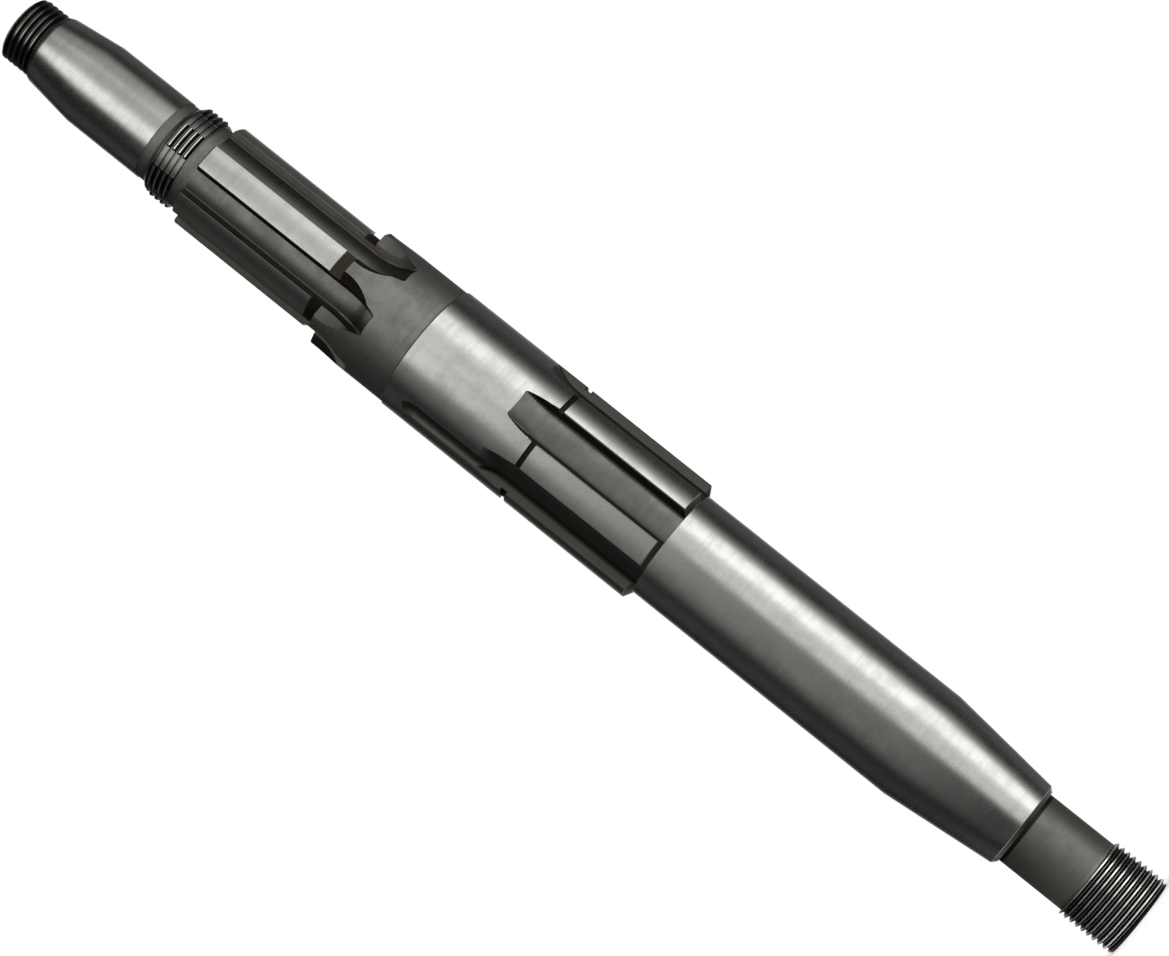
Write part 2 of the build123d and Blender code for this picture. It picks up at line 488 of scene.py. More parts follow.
    def _corner_dirt_and_shade(self, across: Value, along: Value, radius: Value, height: Value) -> Value:
        """Where dirt and painted shade lie in the corners of the spline grooves.

        Args:
            across: a point's X, in millimetres.
            along: its Y.
            radius: its distance from the axis.
            height: its height.

        Returns:
            A number from 0 to 1.
        """
        upper = height.rise(*self.ABOVE_WIDE_SPLINE)
        turn = along.turn_from(across)
        place = (turn - self.WIDE_GROOVE_ANGLE * (1.0 - upper)) / self.GROOVE_STEP
        off = ((place + self.GROOVE_TURNS).part() - 0.5).size() * self.GROOVE_STEP
        edge = off + upper * self.NARROW_CORNER_TURN
        low = (radius + upper * self.NARROW_CORNER_DROP).rise(*self.CORNER_RADII)
        return edge.rise(*self.CORNER_ANGLES) * low * self.CORNER_COVER

    def _root_depth(self, radius: Value, height: Value) -> Value:
        """How far a point lies below the crests of the thread that it is in.

        Args:
            radius: the point's distance from the axis.
            height: its height.

        Returns:
            The depth in millimetres.
        """
        rise = height.rise(*self.ABOVE_LOWER_THREAD) * self.COLLAR_CREST_RISE
        drop = height.rise(*self.ABOVE_COLLAR_THREAD) * self.UPPER_CREST_DROP
        return self.LOWER_CREST + rise - drop - radius

    @classmethod
    def _noise(
        cls, tree: NodeTree, place: bpy.types.NodeSocket, scale: Sequence[float], detail: float
    ) -> Value:
        """Noise over the shaft.

        Args:
            tree: the tree to add it to.
            place: the surface point's coordinates, in metres.
            scale: features per millimetre along X, Y and Z.
            detail: the noise's octaves.

        Returns:
            A number around 0.5.
        """
        metres = tuple(features / MM for features in scale)
        stretched = tree.node("ShaderNodeVectorMath", {0: place, 1: metres}, operation="MULTIPLY")
        return tree.value(
            "ShaderNodeTexNoise",
            {
                "Vector": stretched.outputs[0],
                "Scale": 1.0,
                "Detail": detail,
                "Roughness": cls.NOISE_GRAIN,
            },
        )



FINISHES: dict[Finish, Steel] = {
    Finish.GROUND: Steel(
        colour=(0.515, 0.513, 0.499),
        tarnish=(0.44, 0.435, 0.417),
        tarnish_share=0.45,
        roughness=0.23,
        tarnish_roughness=0.28,
        mark_pitch=0.25,
        mark_depth=0.08,
        rust_share=0.0,
    ),
    Finish.TURNED: Steel(
        colour=(0.245, 0.243, 0.231),
        tarnish=(0.19, 0.187, 0.173),
        tarnish_share=0.5,
        roughness=0.5,
        tarnish_roughness=0.57,
        mark_pitch=0.3,
        mark_depth=0.25,
        rust_share=0.0,
    ),
    Finish.HOBBED: Steel(
        colour=(0.142, 0.14, 0.131),
        tarnish=(0.118, 0.115, 0.104),
        tarnish_share=0.5,
        roughness=0.3,
        tarnish_roughness=0.37,
        mark_pitch=1.2,
        mark_depth=0.2,
        rust_share=0.05,
        dark_sides=0.55,
    ),
    # The threads' near-black film is mostly their painted shade.
    Finish.THREADED: Steel(
        colour=(0.72, 0.715, 0.70),
        tarnish=(0.022, 0.021, 0.019),
        tarnish_share=0.0,
        roughness=0.24,
        tarnish_roughness=0.42,
        mark_pitch=0.3,
        mark_depth=0.15,
        rust_share=0.0,
        dark_flanks=True,
    ),
}


@dataclass(frozen=True)
class GrimeAndShade:
    """A darker ring round the shaft, for dirt, stain, oxide and painted shade.

    Attributes:
        low: its lower edge, in millimetres.
        high: its upper edge.
        inner: the smallest radius that it lies at.
        outer: the largest.
        colour: its colour.
        share: how well it covers the metal.
    """

    low: float
    high: float
    inner: float
    outer: float
    colour: Colour
    share: float

    SOFT = 0.3

    def mask(self, radius: Value, height: Value) -> Value:
        """Where the ring lies.

        Args:
            radius: a point's distance from the axis.
            height: its height.

        Returns:
            A number from 0 to share.
        """
        ring = height.band(self.low, self.high, self.SOFT)
        return ring * radius.band(self.inner, self.outer, self.SOFT / 3) * self.share


GRIME_AND_SHADE: tuple[GrimeAndShade, ...] = (
    # A darker tone over the lower neck.
    GrimeAndShade(14.6, 31.0, 5.0, 9.1, (0.12, 0.118, 0.105), 0.6),
    # Painted shadow under the foot of the lower taper.
    GrimeAndShade(30.2, 32.05, 5.0, 11.0, (0.012, 0.011, 0.009), 0.93),
    # Painted shade on the downward chamfer up to the wide journal.
    GrimeAndShade(129.0, 130.1, 13.5, 15.55, (0.02, 0.018, 0.015), 0.85),
    # Oil stain and painted shade in the ring groove.
    GrimeAndShade(163.5, 165.5, 14.8, 15.5, (0.014, 0.012, 0.009), 0.93),
    # Dirt and painted shade in the relief groove under the narrow spline.
    GrimeAndShade(220.9, 224.0, 12.2, 13.0, (0.03, 0.023, 0.014), 0.9),
    # The upper thread's dark oxide.
    GrimeAndShade(308.3, 330.0, 5.0, 9.0, (0.03, 0.029, 0.026), 0.72),
)


# Cutting metal


class Workshop:
    """Makes meshes the way a lathe and a milling machine make metal."""

    @staticmethod
    def _object(
        name: str, points: Iterable[Sequence[float]], faces: Iterable[Sequence[int]]
    ) -> bpy.types.Object:
        """Makes a closed mesh object whose faces all point out.

        Args:
            name: the object's name.
            points: its corners, in millimetres.
            faces: its faces, as indices of points.

        Returns:
            The object, linked to the scene.
        """
        mesh = bpy.data.meshes.new(name)
        corners = [Vector(point) * MM for point in points]
        mesh.from_pydata(corners, [], [list(face) for face in faces])
        shape = bmesh.new()
        shape.from_mesh(mesh)
        bmesh.ops.recalc_face_normals(shape, faces=shape.faces)
        shape.to_mesh(mesh)
        shape.free()
        made = bpy.data.objects.new(name, mesh)
        bpy.context.scene.collection.objects.link(made)
        return made

    @classmethod
    def turn(
        cls, name: str, outline: Sequence[Point], segments: int = ROUND
    ) -> bpy.types.Object:
        """Turns an outline round the axis.

        Args:
            name: the object's name.
            outline: (radius, height) points from the axis to the axis.
            segments: how many flats stand for the circle.

        Returns:
            A closed solid of revolution.
        """
        points: list[Place] = []
        rows: list[list[int]] = []
        for radius, height in outline:
            count = segments if radius else 1
            first = len(points)
            for index in range(count):
                points.append(round_point(radius, math.tau * index / segments, height))
            rows.append([first + index % count for index in range(segments + 1)])
        faces = []
        for below, above in pairwise(rows):
            for index in range(segments):
                corners = [below[index], below[index + 1], above[index + 1], above[index]]
                faces.append(list(dict.fromkeys(corners)))
        return cls._object(name, points, faces)

    @classmethod
    def sweep(cls, name: str, rings: Sequence[Sequence[Sequence[float]]]) -> bpy.types.Object:
        """Joins a row of sections into a closed solid with flat ends.

        Args:
            name: the object's name.
            rings: the sections' corners, in millimetres, as many in each.

        Returns:
            The solid.
        """
        count = len(rings[0])
        points = [point for ring in rings for point in ring]
        faces = [list(range(count)), list(range(len(points) - count, len(points)))]
        for row in range(len(rings) - 1):
            for index in range(count):
                after = (index + 1) % count
                low, high = row * count, (row + 1) * count
                faces.append([low + index, low + after, high + after, high + index])
        return cls._object(name, points, faces)

    @staticmethod
    def cut(blank: bpy.types.Object, cutters: Iterable[bpy.types.Object]) -> None:
        """Takes the cutters' shapes out of a blank, and deletes the cutters.

        Args:
            blank: the object to cut.
            cutters: the shapes to take out.
        """
        cutters = list(cutters)
        for cutter in cutters:
            bite = blank.modifiers.new(cutter.name, "BOOLEAN")
            bite.operation = "DIFFERENCE"
            bite.solver = "MANIFOLD"
            bite.object = cutter
        bpy.context.view_layer.update()
        graph = bpy.context.evaluated_depsgraph_get()
        finished = bpy.data.meshes.new_from_object(blank.evaluated_get(graph))
        blank.modifiers.clear()
        blank.data = finished
        for cutter in cutters:
            bpy.data.objects.remove(cutter)


class Hand(Enum):
    """Which way a thread turns."""

    RIGHT = 1
    LEFT = -1


@dataclass(frozen=True)
class Thread:
    """A fine 60 degree thread.

    Attributes:
        name: the thread's name.
        start: the height where the cutter starts.
        stop: the height where it stops.
        crest_radius: the radius of the plain length that it is cut in.
        hand: which way it turns.
        fade: how many turns the cutter takes to reach its depth.
        pitch: the distance between crests.
    """

    name: str
    start: float
    stop: float
    crest_radius: float
    hand: Hand
    fade: float = 0.0
    pitch: float = 1.5

    DEPTH_IN_PITCHES = 0.59
    CREST_IN_PITCHES = 0.2
    ROOT_IN_PITCHES = 0.18
    CLEARANCE = 0.3
    STEPS_A_TURN = 120
    ROOT_FLAT = 0.5
    ROOT_CORNER = 0.93
    MOUTH_FLARE = 1.04

    def cutter(self) -> bpy.types.Object:
        """The cutter's path as a solid coil."""
        depth = self.DEPTH_IN_PITCHES * self.pitch
        root = self.ROOT_IN_PITCHES * self.pitch / 2
        mouth = (1 - self.CREST_IN_PITCHES) * self.pitch / 2
        section = [
            (-depth, -root * self.ROOT_FLAT),
            (-depth * self.ROOT_CORNER, -root),
            (0.0, -mouth),
            (self.CLEARANCE, -mouth * self.MOUTH_FLARE),
            (self.CLEARANCE, mouth * self.MOUTH_FLARE),
            (0.0, mouth),
            (-depth * self.ROOT_CORNER, root),
            (-depth, root * self.ROOT_FLAT),
        ]
        turns = (self.stop - self.start) / self.pitch
        steps = math.ceil(turns * self.STEPS_A_TURN)
        rings = []
        for step in range(steps + 1):
            turn = turns * step / steps
            lift = depth * max(0.0, 1 - turn / self.fade) if self.fade else 0.0
            angle = math.tau * turn * self.hand.value
            height = self.start + turn * self.pitch
            radius = self.crest_radius + lift
            rings.append([round_point(radius + out, angle, height + up) for out, up in section])
        return Workshop.sweep(self.name, rings)


@dataclass(frozen=True)
class Spline:
    """A ring of parallel-sided teeth, left by a hob that cuts the grooves between them.

    Attributes:
        name: the spline's name.
        tooth_width: the width of a tooth.
        root_radius: the radius of the grooves' floors.
        edge_radius: where a groove's flanks end and the broken edges or flares begin.
        flare_angle: the flares' angle from the groove's middle plane, in degrees.
        outer_radius: how far out the hob's section is drawn.
        start: the height where the full depth begins.
        stop: the height where the hob starts to leave the metal.
        first_angle: the middle of one tooth, in degrees from -Y towards -X.
        teeth: how many teeth there are.
        hob_radius: the radius of the hob.
    """

    name: str
    tooth_width: float
    root_radius: float
    edge_radius: float
    flare_angle: float
    outer_radius: float
    start: float
    stop: float
    first_angle: float
    teeth: int = 6
    hob_radius: float = 14.5

    ROOT_STEPS = 16
    ROOT_FILLET = 0.25

    @property
    def half_step(self) -> float:
        """Half the angle from tooth to tooth, in radians."""
        return math.pi / self.teeth

    def flank(self, radius: float) -> Point:
        """Where a groove's flank crosses a radius, with the groove's middle on +X.

        Args:
            radius: the distance from the axis.

        Returns:
            The point's x and y.
        """
        half = self.tooth_width / 2
        along = math.sqrt(radius * radius - half * half)
        cos, sin = math.cos(self.half_step), math.sin(self.half_step)
        return along * cos + half * sin, along * sin - half * cos

    def section(self) -> list[Point]:
        """The hob's section, with the groove's middle on +X."""
        corner = self.flank(self.root_radius + self.ROOT_FILLET)
        corner_angle = math.atan2(*reversed(self.flank(self.root_radius)))
        corner_angle -= self.ROOT_FILLET / self.root_radius
        floor = []
        for step in range(self.ROOT_STEPS + 1):
            angle = corner_angle * (2 * step / self.ROOT_STEPS - 1)
            floor.append((self.root_radius * math.cos(angle), self.root_radius * math.sin(angle)))
        edge = self.flank(self.edge_radius)
        out = self.outer_radius - edge[0]
        flare = (self.outer_radius, edge[1] + out * math.tan(math.radians(self.flare_angle)))
        side = [corner, edge, flare]
        return floor + side + [(x, -y) for x, y in reversed(side)]

    def cutters(self) -> Iterator[bpy.types.Object]:
        """The hob's path for each groove."""
        for index in range(self.teeth):
            angle = math.degrees(self.half_step) * (2 * index + 1) + self.first_angle
            name = f"{self.name}_{index}"
            reach = (self.start, self.stop)
            yield hob_path(name, self.section(), self.root_radius, reach, self.hob_radius, angle)


def hob_path(
    name: str, section: Sequence[Point], floor: float, reach: Point, radius: float, angle: float
) -> bpy.types.Object:
    """A cutter's section drawn along the shaft, then swung out of the metal.

    Args:
        name: the cutter's name.
        section: the section's corners, with x out from the axis.
        floor: the section's lowest x, where the cutter's rim is.
        reach: the height where the cut begins and the height where the cutter starts to rise.
        radius: the cutter's radius.
        angle: the groove's place, in degrees from -Y towards -X.

    Returns:
        The path as a solid.
    """
    start, stop = reach
    swing_steps = 30
    swing = math.radians(60)
    pivot = floor + radius
    direction = math.copysign(1.0, stop - start)
    turn = Matrix.Rotation(math.radians(-90 - angle), 4, "Z")
    rings = [[turn @ Vector((x, y, start)) for x, y in section]]
    for step in range(swing_steps + 1):
        lean = swing * step / swing_steps
        ring = []
        for x, y in section:
            arm = pivot - x
            risen = stop + direction * arm * math.sin(lean)
            ring.append(turn @ Vector((pivot - arm * math.cos(lean), y, risen)))
        rings.append(ring)
    return Workshop.sweep(name, rings)


# The shaft


@dataclass(frozen=True)
class SplinedShaft:
    """The shaft's sizes, and how it is made from them."""

    node: str = "splined_shaft"
    lower_thread_length: float = 14.0
    lower_neck_length: float = 17.1
    lower_taper_length: float = 28.0
    long_journal_length: float = 69.9
    wide_journal_length: float = 70.1
    shoulder_length: float = 21.9
    relief_length: float = 3.1
    narrow_spline_length: float = 38.0
    thread_relief_length: float = 3.0
    collar_thread_length: float = 7.5
    seat_band_length: float = 2.3
    bearing_seat_length: float = 20.6
    upper_taper_length: float = 12.7
    upper_chamfer_length: float = 1.3

    lower_thread_radius: float = 9.9
    lower_neck_radius: float = 9.0
    taper_small_radius: float = 10.55
    long_journal_radius: float = 13.35
    wide_journal_radius: float = 15.6
    shoulder_radius: float = 15.25
    relief_radius: float = 12.5
    narrow_spline_radius: float = 13.1
    thread_relief_radius: float = 10.75
    collar_thread_radius: float = 11.8
    seat_band_radius: float = 10.15
    bearing_seat_radius: float = 10.35
    upper_taper_radius: float = 8.75
    upper_thread_radius: float = 8.15

    wide_groove_length: float = 44.0
    narrow_groove_reach: float = 11.3
    hob_radius: float = 14.5
    ring_groove_offset: float = 35.45
    ring_groove_width: float = 1.3
    ring_groove_depth: float = 0.65
    wide_tooth_angle: float = 31.4
    oil_slot_angle: float = 67.5
    oil_slot_length: float = 21.1
    oil_slot_width: float = 4.3
    oil_slot_depth: float = 1.2
    oil_cutter_radius: float = 8.6
    centre_mouth_radius: float = 3.0
    centre_pilot_radius: float = 1.25
    centre_pilot_length: float = 3.0
    centre_half_angle: float = 30.0
    oil_slot_lead: float = 3.0

    lower_point_depth: float = 0.7
    lower_point_length: float = 0.8
    upper_point_depth: float = 0.8
    upper_point_length: float = 0.6
    taper_foot: float = 1.0
    wide_step_length: float = 1.25
    journal_edge: float = 0.35
    shoulder_edge: float = 0.3
    collar_lead_depth: float = 0.6
    collar_lead_length: float = 0.5
    collar_tail_length: float = 1.8

    lower_thread_lead: float = 2.5
    upper_thread_lead: float = 0.6
    upper_thread_fade: float = 0.6
    thread_overrun: float = 1.0
    end_overrun: float = 2.0

    wide_tooth_width: float = 6.8
    wide_groove_undercut: float = 0.2
    wide_tooth_edge: float = 0.15
    wide_flare_angle: float = 75.0
    wide_overrun: float = 1.0
    narrow_tooth_width: float = 6.25
    narrow_root_radius: float = 11.2
    narrow_tooth_edge: float = 0.12
    narrow_flare_angle: float = 62.0
    narrow_overrun: float = 2.0

    SHARP_ANGLE = 25.0
    TOUCH = 0.03
    OIL_SLOT_STEPS = 48

    def heights(self) -> dict[str, float]:
        """The height where each length of the shaft ends."""
        names = (
            "lower_thread lower_neck lower_taper long_journal wide_journal shoulder relief "
            "narrow_spline thread_relief collar_thread seat_band bearing_seat upper_taper "
            "upper_chamfer"
        ).split()
        tops: dict[str, float] = {}
        height = 0.0
        for name in names:
            height += getattr(self, f"{name}_length")
            tops[name] = height
        tops["shaft"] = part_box(self.node)[1].z / MM
        return tops

    def outline(self) -> Outline:
        """The turned blank's radii and heights, with the finish of the surface below each."""
        top = self.heights()
        turned, ground, threaded = Finish.TURNED, Finish.GROUND, Finish.THREADED
        cone_depth = self.centre_mouth_radius - self.centre_pilot_radius
        cone = cone_depth / math.tan(math.radians(self.centre_half_angle))
        deep = cone + self.centre_pilot_length
        groove = top["long_journal"] + self.ring_groove_offset
        groove_floor = self.wide_journal_radius - self.ring_groove_depth
        half_groove = self.ring_groove_width / 2
        lower, collar, upper = (
            self.lower_thread_radius,
            self.collar_thread_radius,
            self.upper_thread_radius,
        )
        wide, shoulder, narrow = (
            self.wide_journal_radius,
            self.shoulder_radius,
            self.narrow_spline_radius,
        )
        mouth, pilot, end = self.centre_mouth_radius, self.centre_pilot_radius, top["shaft"]
        return [
            (0.0, deep, turned),
            (pilot, deep, turned),
            (pilot, cone, turned),
            (mouth, 0.0, turned),
            (lower - self.lower_point_depth, 0.0, turned),
            (lower, self.lower_point_length, threaded),
            (lower, top["lower_thread"], threaded),
            (self.lower_neck_radius, top["lower_thread"], turned),
            (self.lower_neck_radius, top["lower_neck"], turned),
            (self.taper_small_radius - self.taper_foot, top["lower_neck"], turned),
            (self.taper_small_radius, top["lower_neck"] + self.taper_foot, ground),
            (self.long_journal_radius, top["lower_taper"], ground),
            (self.long_journal_radius, top["long_journal"], ground),
            (wide, top["long_journal"] + self.wide_step_length, turned),
            (wide, groove - half_groove, ground),
            (groove_floor, groove - half_groove, turned),
            (groove_floor, groove + half_groove, turned),
            (wide, groove + half_groove, turned),
            (wide, top["wide_journal"] - self.journal_edge, ground),
            (shoulder, top["wide_journal"], turned),
            (shoulder, top["shoulder"] - self.shoulder_edge, turned),
            (shoulder - self.shoulder_edge, top["shoulder"], turned),
            (self.relief_radius, top["shoulder"], turned),
            (self.relief_radius, top["relief"], turned),
            (narrow, top["relief"], turned),
            (narrow, top["narrow_spline"] - self.journal_edge, ground),
            (narrow - self.journal_edge, top["narrow_spline"], turned),
            (self.thread_relief_radius, top["narrow_spline"], turned),
            (self.thread_relief_radius, top["thread_relief"], turned),
            (collar - self.collar_lead_depth, top["thread_relief"], turned),
            (collar, top["thread_relief"] + self.collar_lead_length, threaded),
            (collar, top["collar_thread"] - self.collar_tail_length, threaded),
            (self.seat_band_radius, top["collar_thread"], threaded),
            (self.seat_band_radius, top["seat_band"], turned),
            (self.bearing_seat_radius, top["seat_band"], turned),
            (self.bearing_seat_radius, top["bearing_seat"], ground),
            (self.upper_taper_radius, top["upper_taper"], ground),
            (upper, top["upper_chamfer"], threaded),
            (upper, end - self.upper_point_length, threaded),
            (upper - self.upper_point_depth, end, threaded),
            (mouth, end, turned),
            (pilot, end - cone, turned),
            (pilot, end - deep, turned),
            (0.0, end - deep, turned),
        ]

    def threads(self) -> list[Thread]:
        """The three threads."""
        top = self.heights()
        return [
            Thread(
                "lower_thread",
                -self.lower_thread_lead,
                top["lower_thread"] + self.thread_overrun,
                self.lower_thread_radius,
                Hand.LEFT,
            ),
            Thread(
                "collar_thread",
                top["thread_relief"] - self.thread_overrun,
                top["collar_thread"] + self.thread_overrun,
                self.collar_thread_radius,
                Hand.RIGHT,
            ),
            Thread(
                "upper_thread",
                top["upper_taper"] + self.upper_thread_lead,
                top["shaft"] + self.end_overrun,
                self.upper_thread_radius,
                Hand.RIGHT,
                fade=self.upper_thread_fade,
            ),
        ]

    def splines(self) -> list[Spline]:
        """The two sets of teeth."""
        top = self.heights()
        wide_root = self.long_journal_radius - self.wide_groove_undercut
        wide_rise = self.wide_journal_radius - wide_root
        narrow_rise = self.shoulder_radius - self.narrow_root_radius
        wide_end = top["long_journal"] + self.wide_groove_length
        narrow_end = top["shoulder"] - self.narrow_groove_reach
        return [
            Spline(
                "wide_groove",
                tooth_width=self.wide_tooth_width,
                root_radius=wide_root,
                edge_radius=self.wide_journal_radius - self.wide_tooth_edge,
                flare_angle=self.wide_flare_angle,
                outer_radius=self.wide_journal_radius + self.wide_overrun,
                start=top["long_journal"],
                stop=wide_end - self.run_out(wide_rise, self.hob_radius),
                first_angle=self.wide_tooth_angle,
                hob_radius=self.hob_radius,
            ),
            Spline(
                "narrow_groove",
                tooth_width=self.narrow_tooth_width,
                root_radius=self.narrow_root_radius,
                edge_radius=self.narrow_spline_radius - self.narrow_tooth_edge,
                flare_angle=self.narrow_flare_angle,
                outer_radius=self.shoulder_radius + self.narrow_overrun,
                start=top["collar_thread"] + self.narrow_overrun,
                stop=narrow_end + self.run_out(narrow_rise, self.hob_radius),
                first_angle=0.0,
                hob_radius=self.hob_radius,
            ),
        ]

    @staticmethod
    def run_out(depth: float, radius: float) -> float:
        """The length over which a round cutter climbs out of a cut.

        Args:
            depth: the cut's depth.
            radius: the cutter's radius.

        Returns:
            The length.
        """
        return math.sqrt(2 * radius * depth - depth * depth)

    def oil_slot(self) -> bpy.types.Object:
        """The round-nosed cutter's path for the oil slot."""
        floor = self.wide_journal_radius - self.oil_slot_depth
        half = self.oil_slot_width / 2
        edge = math.sqrt(self.wide_journal_radius**2 - half**2) - floor
        nose = (half**2 + edge**2) / (2 * edge)
        section = []
        for step in range(self.OIL_SLOT_STEPS):
            angle = math.tau * step / self.OIL_SLOT_STEPS
            section.append((floor + nose - nose * math.cos(angle), nose * math.sin(angle)))
        groove_end = self.heights()["long_journal"] + self.wide_groove_length
        climb = self.run_out(self.oil_slot_depth, self.oil_cutter_radius)
        reach = (groove_end - self.oil_slot_lead, groove_end + self.oil_slot_length - climb)
        return hob_path(
            "oil_slot", section, floor, reach, self.oil_cutter_radius, self.oil_slot_angle
        )

    def build(self) -> bpy.types.Object:
        """Machines the shaft and dresses it.

        Returns:
            The shaft's object, which rides on the frame.
        """
        outline = self.outline()
        blank = [(radius, height) for radius, height, _ in outline]
        shaft = Workshop.turn("machined_shaft", blank)
        Workshop.cut(shaft, [thread.cutter() for thread in self.threads()])
        for spline in self.splines():
            Workshop.cut(shaft, spline.cutters())
        Workshop.cut(shaft, [self.oil_slot()])
        self.dress(shaft, outline)
        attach(shaft, "root")
        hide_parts(self.node)
        LOG.info("%s: %d faces", shaft.name, len(shaft.data.polygons))
        return shaft

    def dress(self, shaft: bpy.types.Object, outline: Outline) -> None:
        """Gives each face its finish, and smooths what is round.

        Args:
            shaft: the machined shaft.
            outline: the blank's outline with its finishes.
        """
        order = list(Finish)
        top = self.heights()
        shaft.data.materials.clear()
        for finish in order:
            shaft.data.materials.append(FINISHES[finish].material(finish.value))
        for face in shaft.data.polygons:
            centre = face.center / MM
            finish = self.finish_at(math.hypot(centre.x, centre.y), centre.z, outline, top)
            face.material_index = order.index(finish)
            face.use_smooth = True
        shaft.data.set_sharp_from_angle(angle=math.radians(self.SHARP_ANGLE))

    @classmethod
    def finish_at(
        cls, radius: float, height: float, outline: Outline, top: dict[str, float]
    ) -> Finish:
        """The finish of the surface at a point.

        Args:
            radius: the point's distance from the axis.
            height: its height.
            outline: the blank's outline with its finishes.
            top: the height where each length of the shaft ends.

        Returns:
            The outline's finish where the point lies on it, and otherwise what cut the metal there.
        """
        for (low_radius, low, _), (high_radius, high, finish) in pairwise(outline):
            along = Vector((high_radius - low_radius, high - low))
            off = Vector((radius - low_radius, height - low))
            share = min(1.0, max(0.0, off.dot(along) / along.length_squared))
            if (off - along * share).length < cls.TOUCH:
                return finish
        in_threads = (
            height < top["lower_thread"]
            or top["thread_relief"] < height < top["collar_thread"]
            or height > top["upper_chamfer"]
        )
        return Finish.THREADED if in_threads else Finish.HOBBED


# Studio


@dataclass(frozen=True)
class Panel:
    """A soft light or a grey card on the studio's round wall.

    Attributes:
        middle: its middle, in degrees round the shaft from the camera's side towards -X.
        width: its width in degrees.
        soft: how wide its side edges are, in degrees.
        low: its lower edge, in millimetres.
        high: its upper edge.
        fade: how tall its upper and lower edges are.
        light: how bright it is.
    """

    middle: float
    width: float
    soft: float
    low: float
    high: float
    fade: float
    light: float


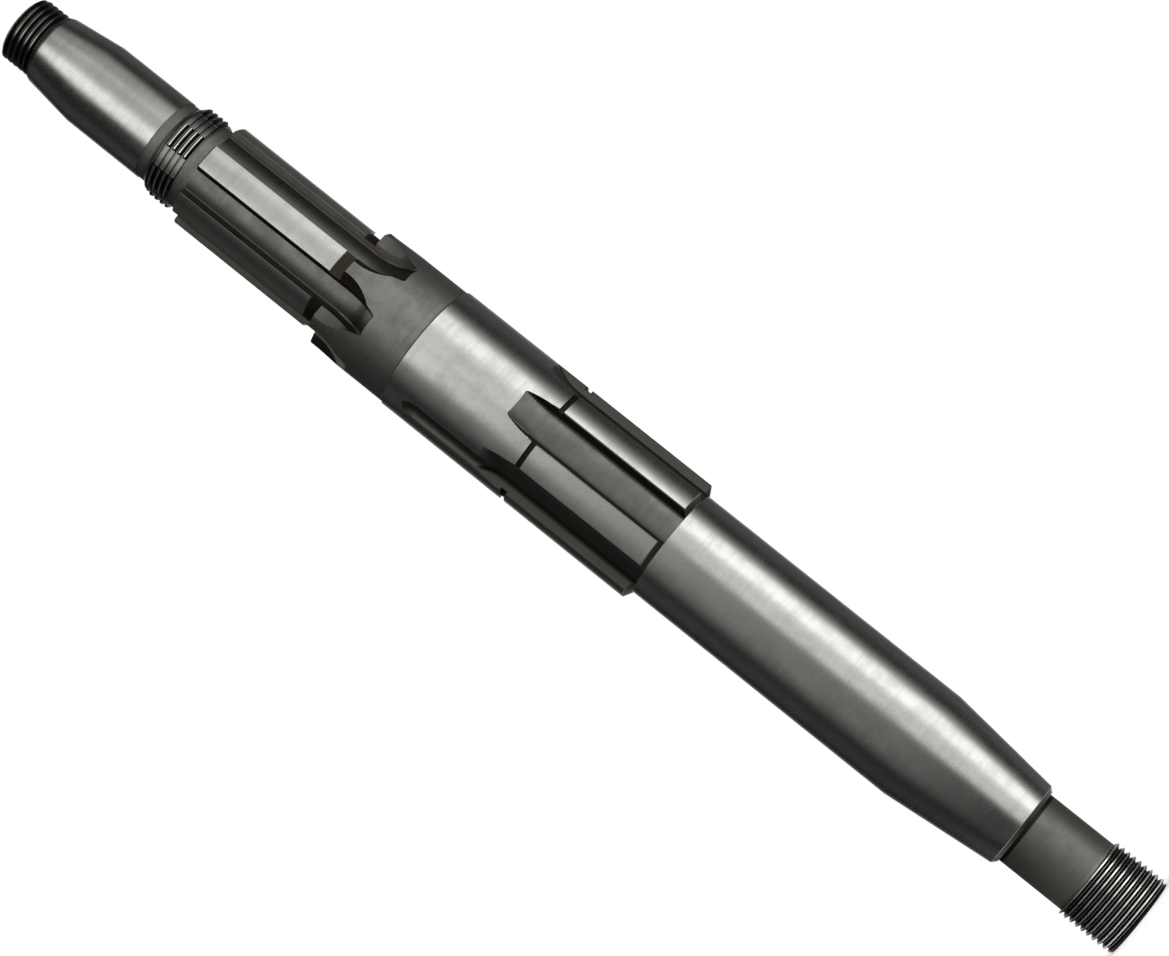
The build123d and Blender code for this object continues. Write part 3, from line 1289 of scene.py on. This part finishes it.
@dataclass(frozen=True)
class Studio:
    """A white room with a round wall of soft lights, a pale floor and a camera."""

    camera_azimuth: float = -13.7
    wall_radius: float = 700.0
    wall_low: float = -2500.0
    wall_high: float = 3000.0
    room_light: float = 0.018
    wall_tint: Colour = (1.0, 0.995, 0.975)
    wall_steps: int = 96
    matt_world_light: float = 0.9
    floor_radius: float = 60.0
    floor_top: float = -0.02
    floor_bottom: float = -2.0
    floor_colour: Colour = (0.9, 0.9, 0.9)
    floor_glow: float = 0.28
    floor_roughness: float = 0.9
    floor_steps: int = 128
    camera_distance: float = 784.9
    camera_height: float = 49.3
    sight_height: float = 155.4
    aim_height: float = 153.2
    aim_shift: float = 0.5
    camera_roll: float = 51.35
    lens_length: float = 110.86
    sensor_width: float = 36.0
    nearest: float = 50.0
    farthest: float = 20000.0
    panels: tuple[Panel, ...] = (
        Panel(-55, 28, 14, -500, 400, 260, 1.5),
        Panel(-60, 42, 26, -900, 1200, 200, 0.42),
        Panel(-24, 42, 14, -2600, 1200, 300, 0.62),
        Panel(-24, 42, 14, -900, 420, 200, 0.36),
        Panel(17, 38, 20, 315, 1200, 220, 1.6),
        Panel(27, 66, 46, -30, 420, 120, 0.27),
        Panel(62, 30, 30, -20, 420, 160, 0.04),
        Panel(-142, 60, 40, -900, 1200, 200, 0.11),
        Panel(110, 40, 24, 20, 1200, 160, 0.045),
        Panel(180, 54, 20, -900, 1200, 200, 0.3),
        Panel(180, 22, 14, -2600, 1200, 200, 1.5),
        Panel(215, 60, 30, -2600, -110, 120, 0.5),
        Panel(135, 70, 50, -2600, -60, 160, 0.14),
        Panel(0, 400, 1, -2600, -420, 300, 0.28),
    )

    def build(self) -> None:
        """Makes the world, the wall, the floor and the camera."""
        scene = bpy.context.scene
        scene.view_settings.view_transform = "Standard"
        self.world(scene)
        self.wall()
        self.floor()
        self.camera(scene)

    def world(self, scene: bpy.types.Scene) -> None:
        """A plain white world, at full strength for the camera and for what metal sees past the wall.

        Args:
            scene: the scene to light.
        """
        world = bpy.data.worlds.new("studio")
        world.use_nodes = True
        scene.world = world
        tree = NodeTree(world.node_tree)
        path = tree.node("ShaderNodeLightPath")
        rays = ("Is Camera Ray", "Is Glossy Ray", "Is Transmission Ray")
        camera, glossy, through = (Value(tree, path.outputs[ray]) for ray in rays)
        seen = (camera + glossy + through).least(1.0)
        colour = (1.0, 1.0, 1.0, 1.0)
        white = tree.node("ShaderNodeBackground", {"Color": colour, "Strength": 1.0})
        soft = tree.node(
            "ShaderNodeBackground", {"Color": colour, "Strength": self.matt_world_light}
        )
        mixed = tree.node("ShaderNodeMixShader", {0: seen, 1: soft.outputs[0], 2: white.outputs[0]})
        tree.node("ShaderNodeOutputWorld", {"Surface": mixed.outputs[0]})

    def wall(self) -> bpy.types.Object:
        """The round wall, which metal shows and the camera and matt surfaces do not."""
        count = self.wall_steps
        points = [
            Vector(round_point(self.wall_radius, math.tau * step / count, height)) * MM
            for height in (self.wall_low, self.wall_high)
            for step in range(count)
        ]
        faces = []
        for index in range(count):
            after = (index + 1) % count
            faces.append([index, after, count + after, count + index])
        mesh = bpy.data.meshes.new("studio_wall")
        mesh.from_pydata(points, [], faces)
        mesh.materials.append(self.wall_material())
        wall = bpy.data.objects.new("studio_wall", mesh)
        bpy.context.scene.collection.objects.link(wall)
        wall.visible_camera = False
        wall.visible_diffuse = False
        return wall

    def wall_material(self) -> bpy.types.Material:
        """Light that varies round the wall and up it, one window for each panel."""
        material, tree = NodeTree.material("studio_wall")
        place = tree.node("ShaderNodeTexCoord").outputs["Object"]
        facing = math.radians(-90 + self.camera_azimuth)
        turned = tree.node(
            "ShaderNodeVectorRotate", {"Vector": place, "Angle": -facing}, rotation_type="Z_AXIS"
        )
        parts = tree.node("ShaderNodeSeparateXYZ", {0: turned.outputs[0]}).outputs
        angle = (Value(tree, parts["Y"]) * -1.0).turn_from(Value(tree, parts["X"]))
        height = Value(tree, parts["Z"]) / MM
        light: Number = self.room_light
        for panel in self.panels:
            off = (angle - panel.middle).size()
            off = off.least((360.0 - off).size())
            half, soft = panel.width / 2, panel.soft / 2
            side = off.rise(half + soft, half - soft)
            rows = height.band(panel.low, panel.high, panel.fade)
            light = side * rows * panel.light + light
        tint = tree.node(
            "ShaderNodeVectorMath", {0: self.wall_tint, "Scale": light}, operation="SCALE"
        )
        glow = tree.node(
            "ShaderNodeBsdfPrincipled",
            {
                "Base Color": (0.0, 0.0, 0.0, 1.0),
                "Roughness": 1.0,
                "Specular IOR Level": 0.0,
                "Emission Color": tint.outputs[0],
                "Emission Strength": 1.0,
            },
        )
        tree.node("ShaderNodeOutputMaterial", {"Surface": glow.outputs[0]})
        return material

    def floor(self) -> bpy.types.Object:
        """A round pale floor under the shaft."""
        top, bottom, rim = self.floor_top, self.floor_bottom, self.floor_radius
        outline = [(0.0, bottom), (rim, bottom), (rim, top), (0.0, top)]
        floor = Workshop.turn("studio_floor", outline, segments=self.floor_steps)
        material, tree = NodeTree.material("pale_floor")
        paint = tree.node(
            "ShaderNodeBsdfPrincipled",
            {
                "Base Color": (*self.floor_colour, 1.0),
                "Roughness": self.floor_roughness,
                "Specular IOR Level": 0.0,
                "Emission Color": (1.0, 1.0, 1.0, 1.0),
                "Emission Strength": self.floor_glow,
            },
        )
        tree.node("ShaderNodeOutputMaterial", {"Surface": paint.outputs[0]})
        floor.data.materials.append(material)
        return floor

    def camera(self, scene: bpy.types.Scene) -> None:
        """A long lens near the lower end, which looks up along the shaft and is rolled over.

        Args:
            scene: the scene to give the camera to.
        """
        azimuth = math.radians(self.camera_azimuth)
        distance = self.camera_distance * MM
        side, back = math.sin(azimuth) * distance, -math.cos(azimuth) * distance
        place = Vector((side, back, self.camera_height * MM))
        axis = Vector((0.0, 0.0, 1.0))
        forward = (axis * self.sight_height * MM - place).normalized()
        across = forward.cross(axis).normalized()
        aim = axis * self.aim_height * MM - across * self.aim_shift * MM
        forward = (aim - place).normalized()
        across = forward.cross(axis).normalized()
        upward = across.cross(forward)
        roll = math.radians(self.camera_roll)
        right = across * math.cos(roll) - upward * math.sin(roll)
        above = across * math.sin(roll) + upward * math.cos(roll)
        data = bpy.data.cameras.new("camera")
        data.sensor_width = self.sensor_width
        data.lens = self.lens_length
        data.clip_start = self.nearest * MM
        data.clip_end = self.farthest * MM
        camera = bpy.data.objects.new("camera", data)
        turn = Matrix((right, above, -forward)).transposed()
        camera.matrix_world = Matrix.Translation(place) @ turn.to_4x4()
        scene.collection.objects.link(camera)
        scene.camera = camera


def main() -> None:
    """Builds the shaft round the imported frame, then the studio."""
    logging.basicConfig(level=logging.INFO, format="%(name)s %(message)s")
    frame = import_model()
    LOG.info("the frame has %s", ", ".join(frame["nodes"]))
    SplinedShaft().build()
    Studio().build()


if __name__ == "__main__":
    main()
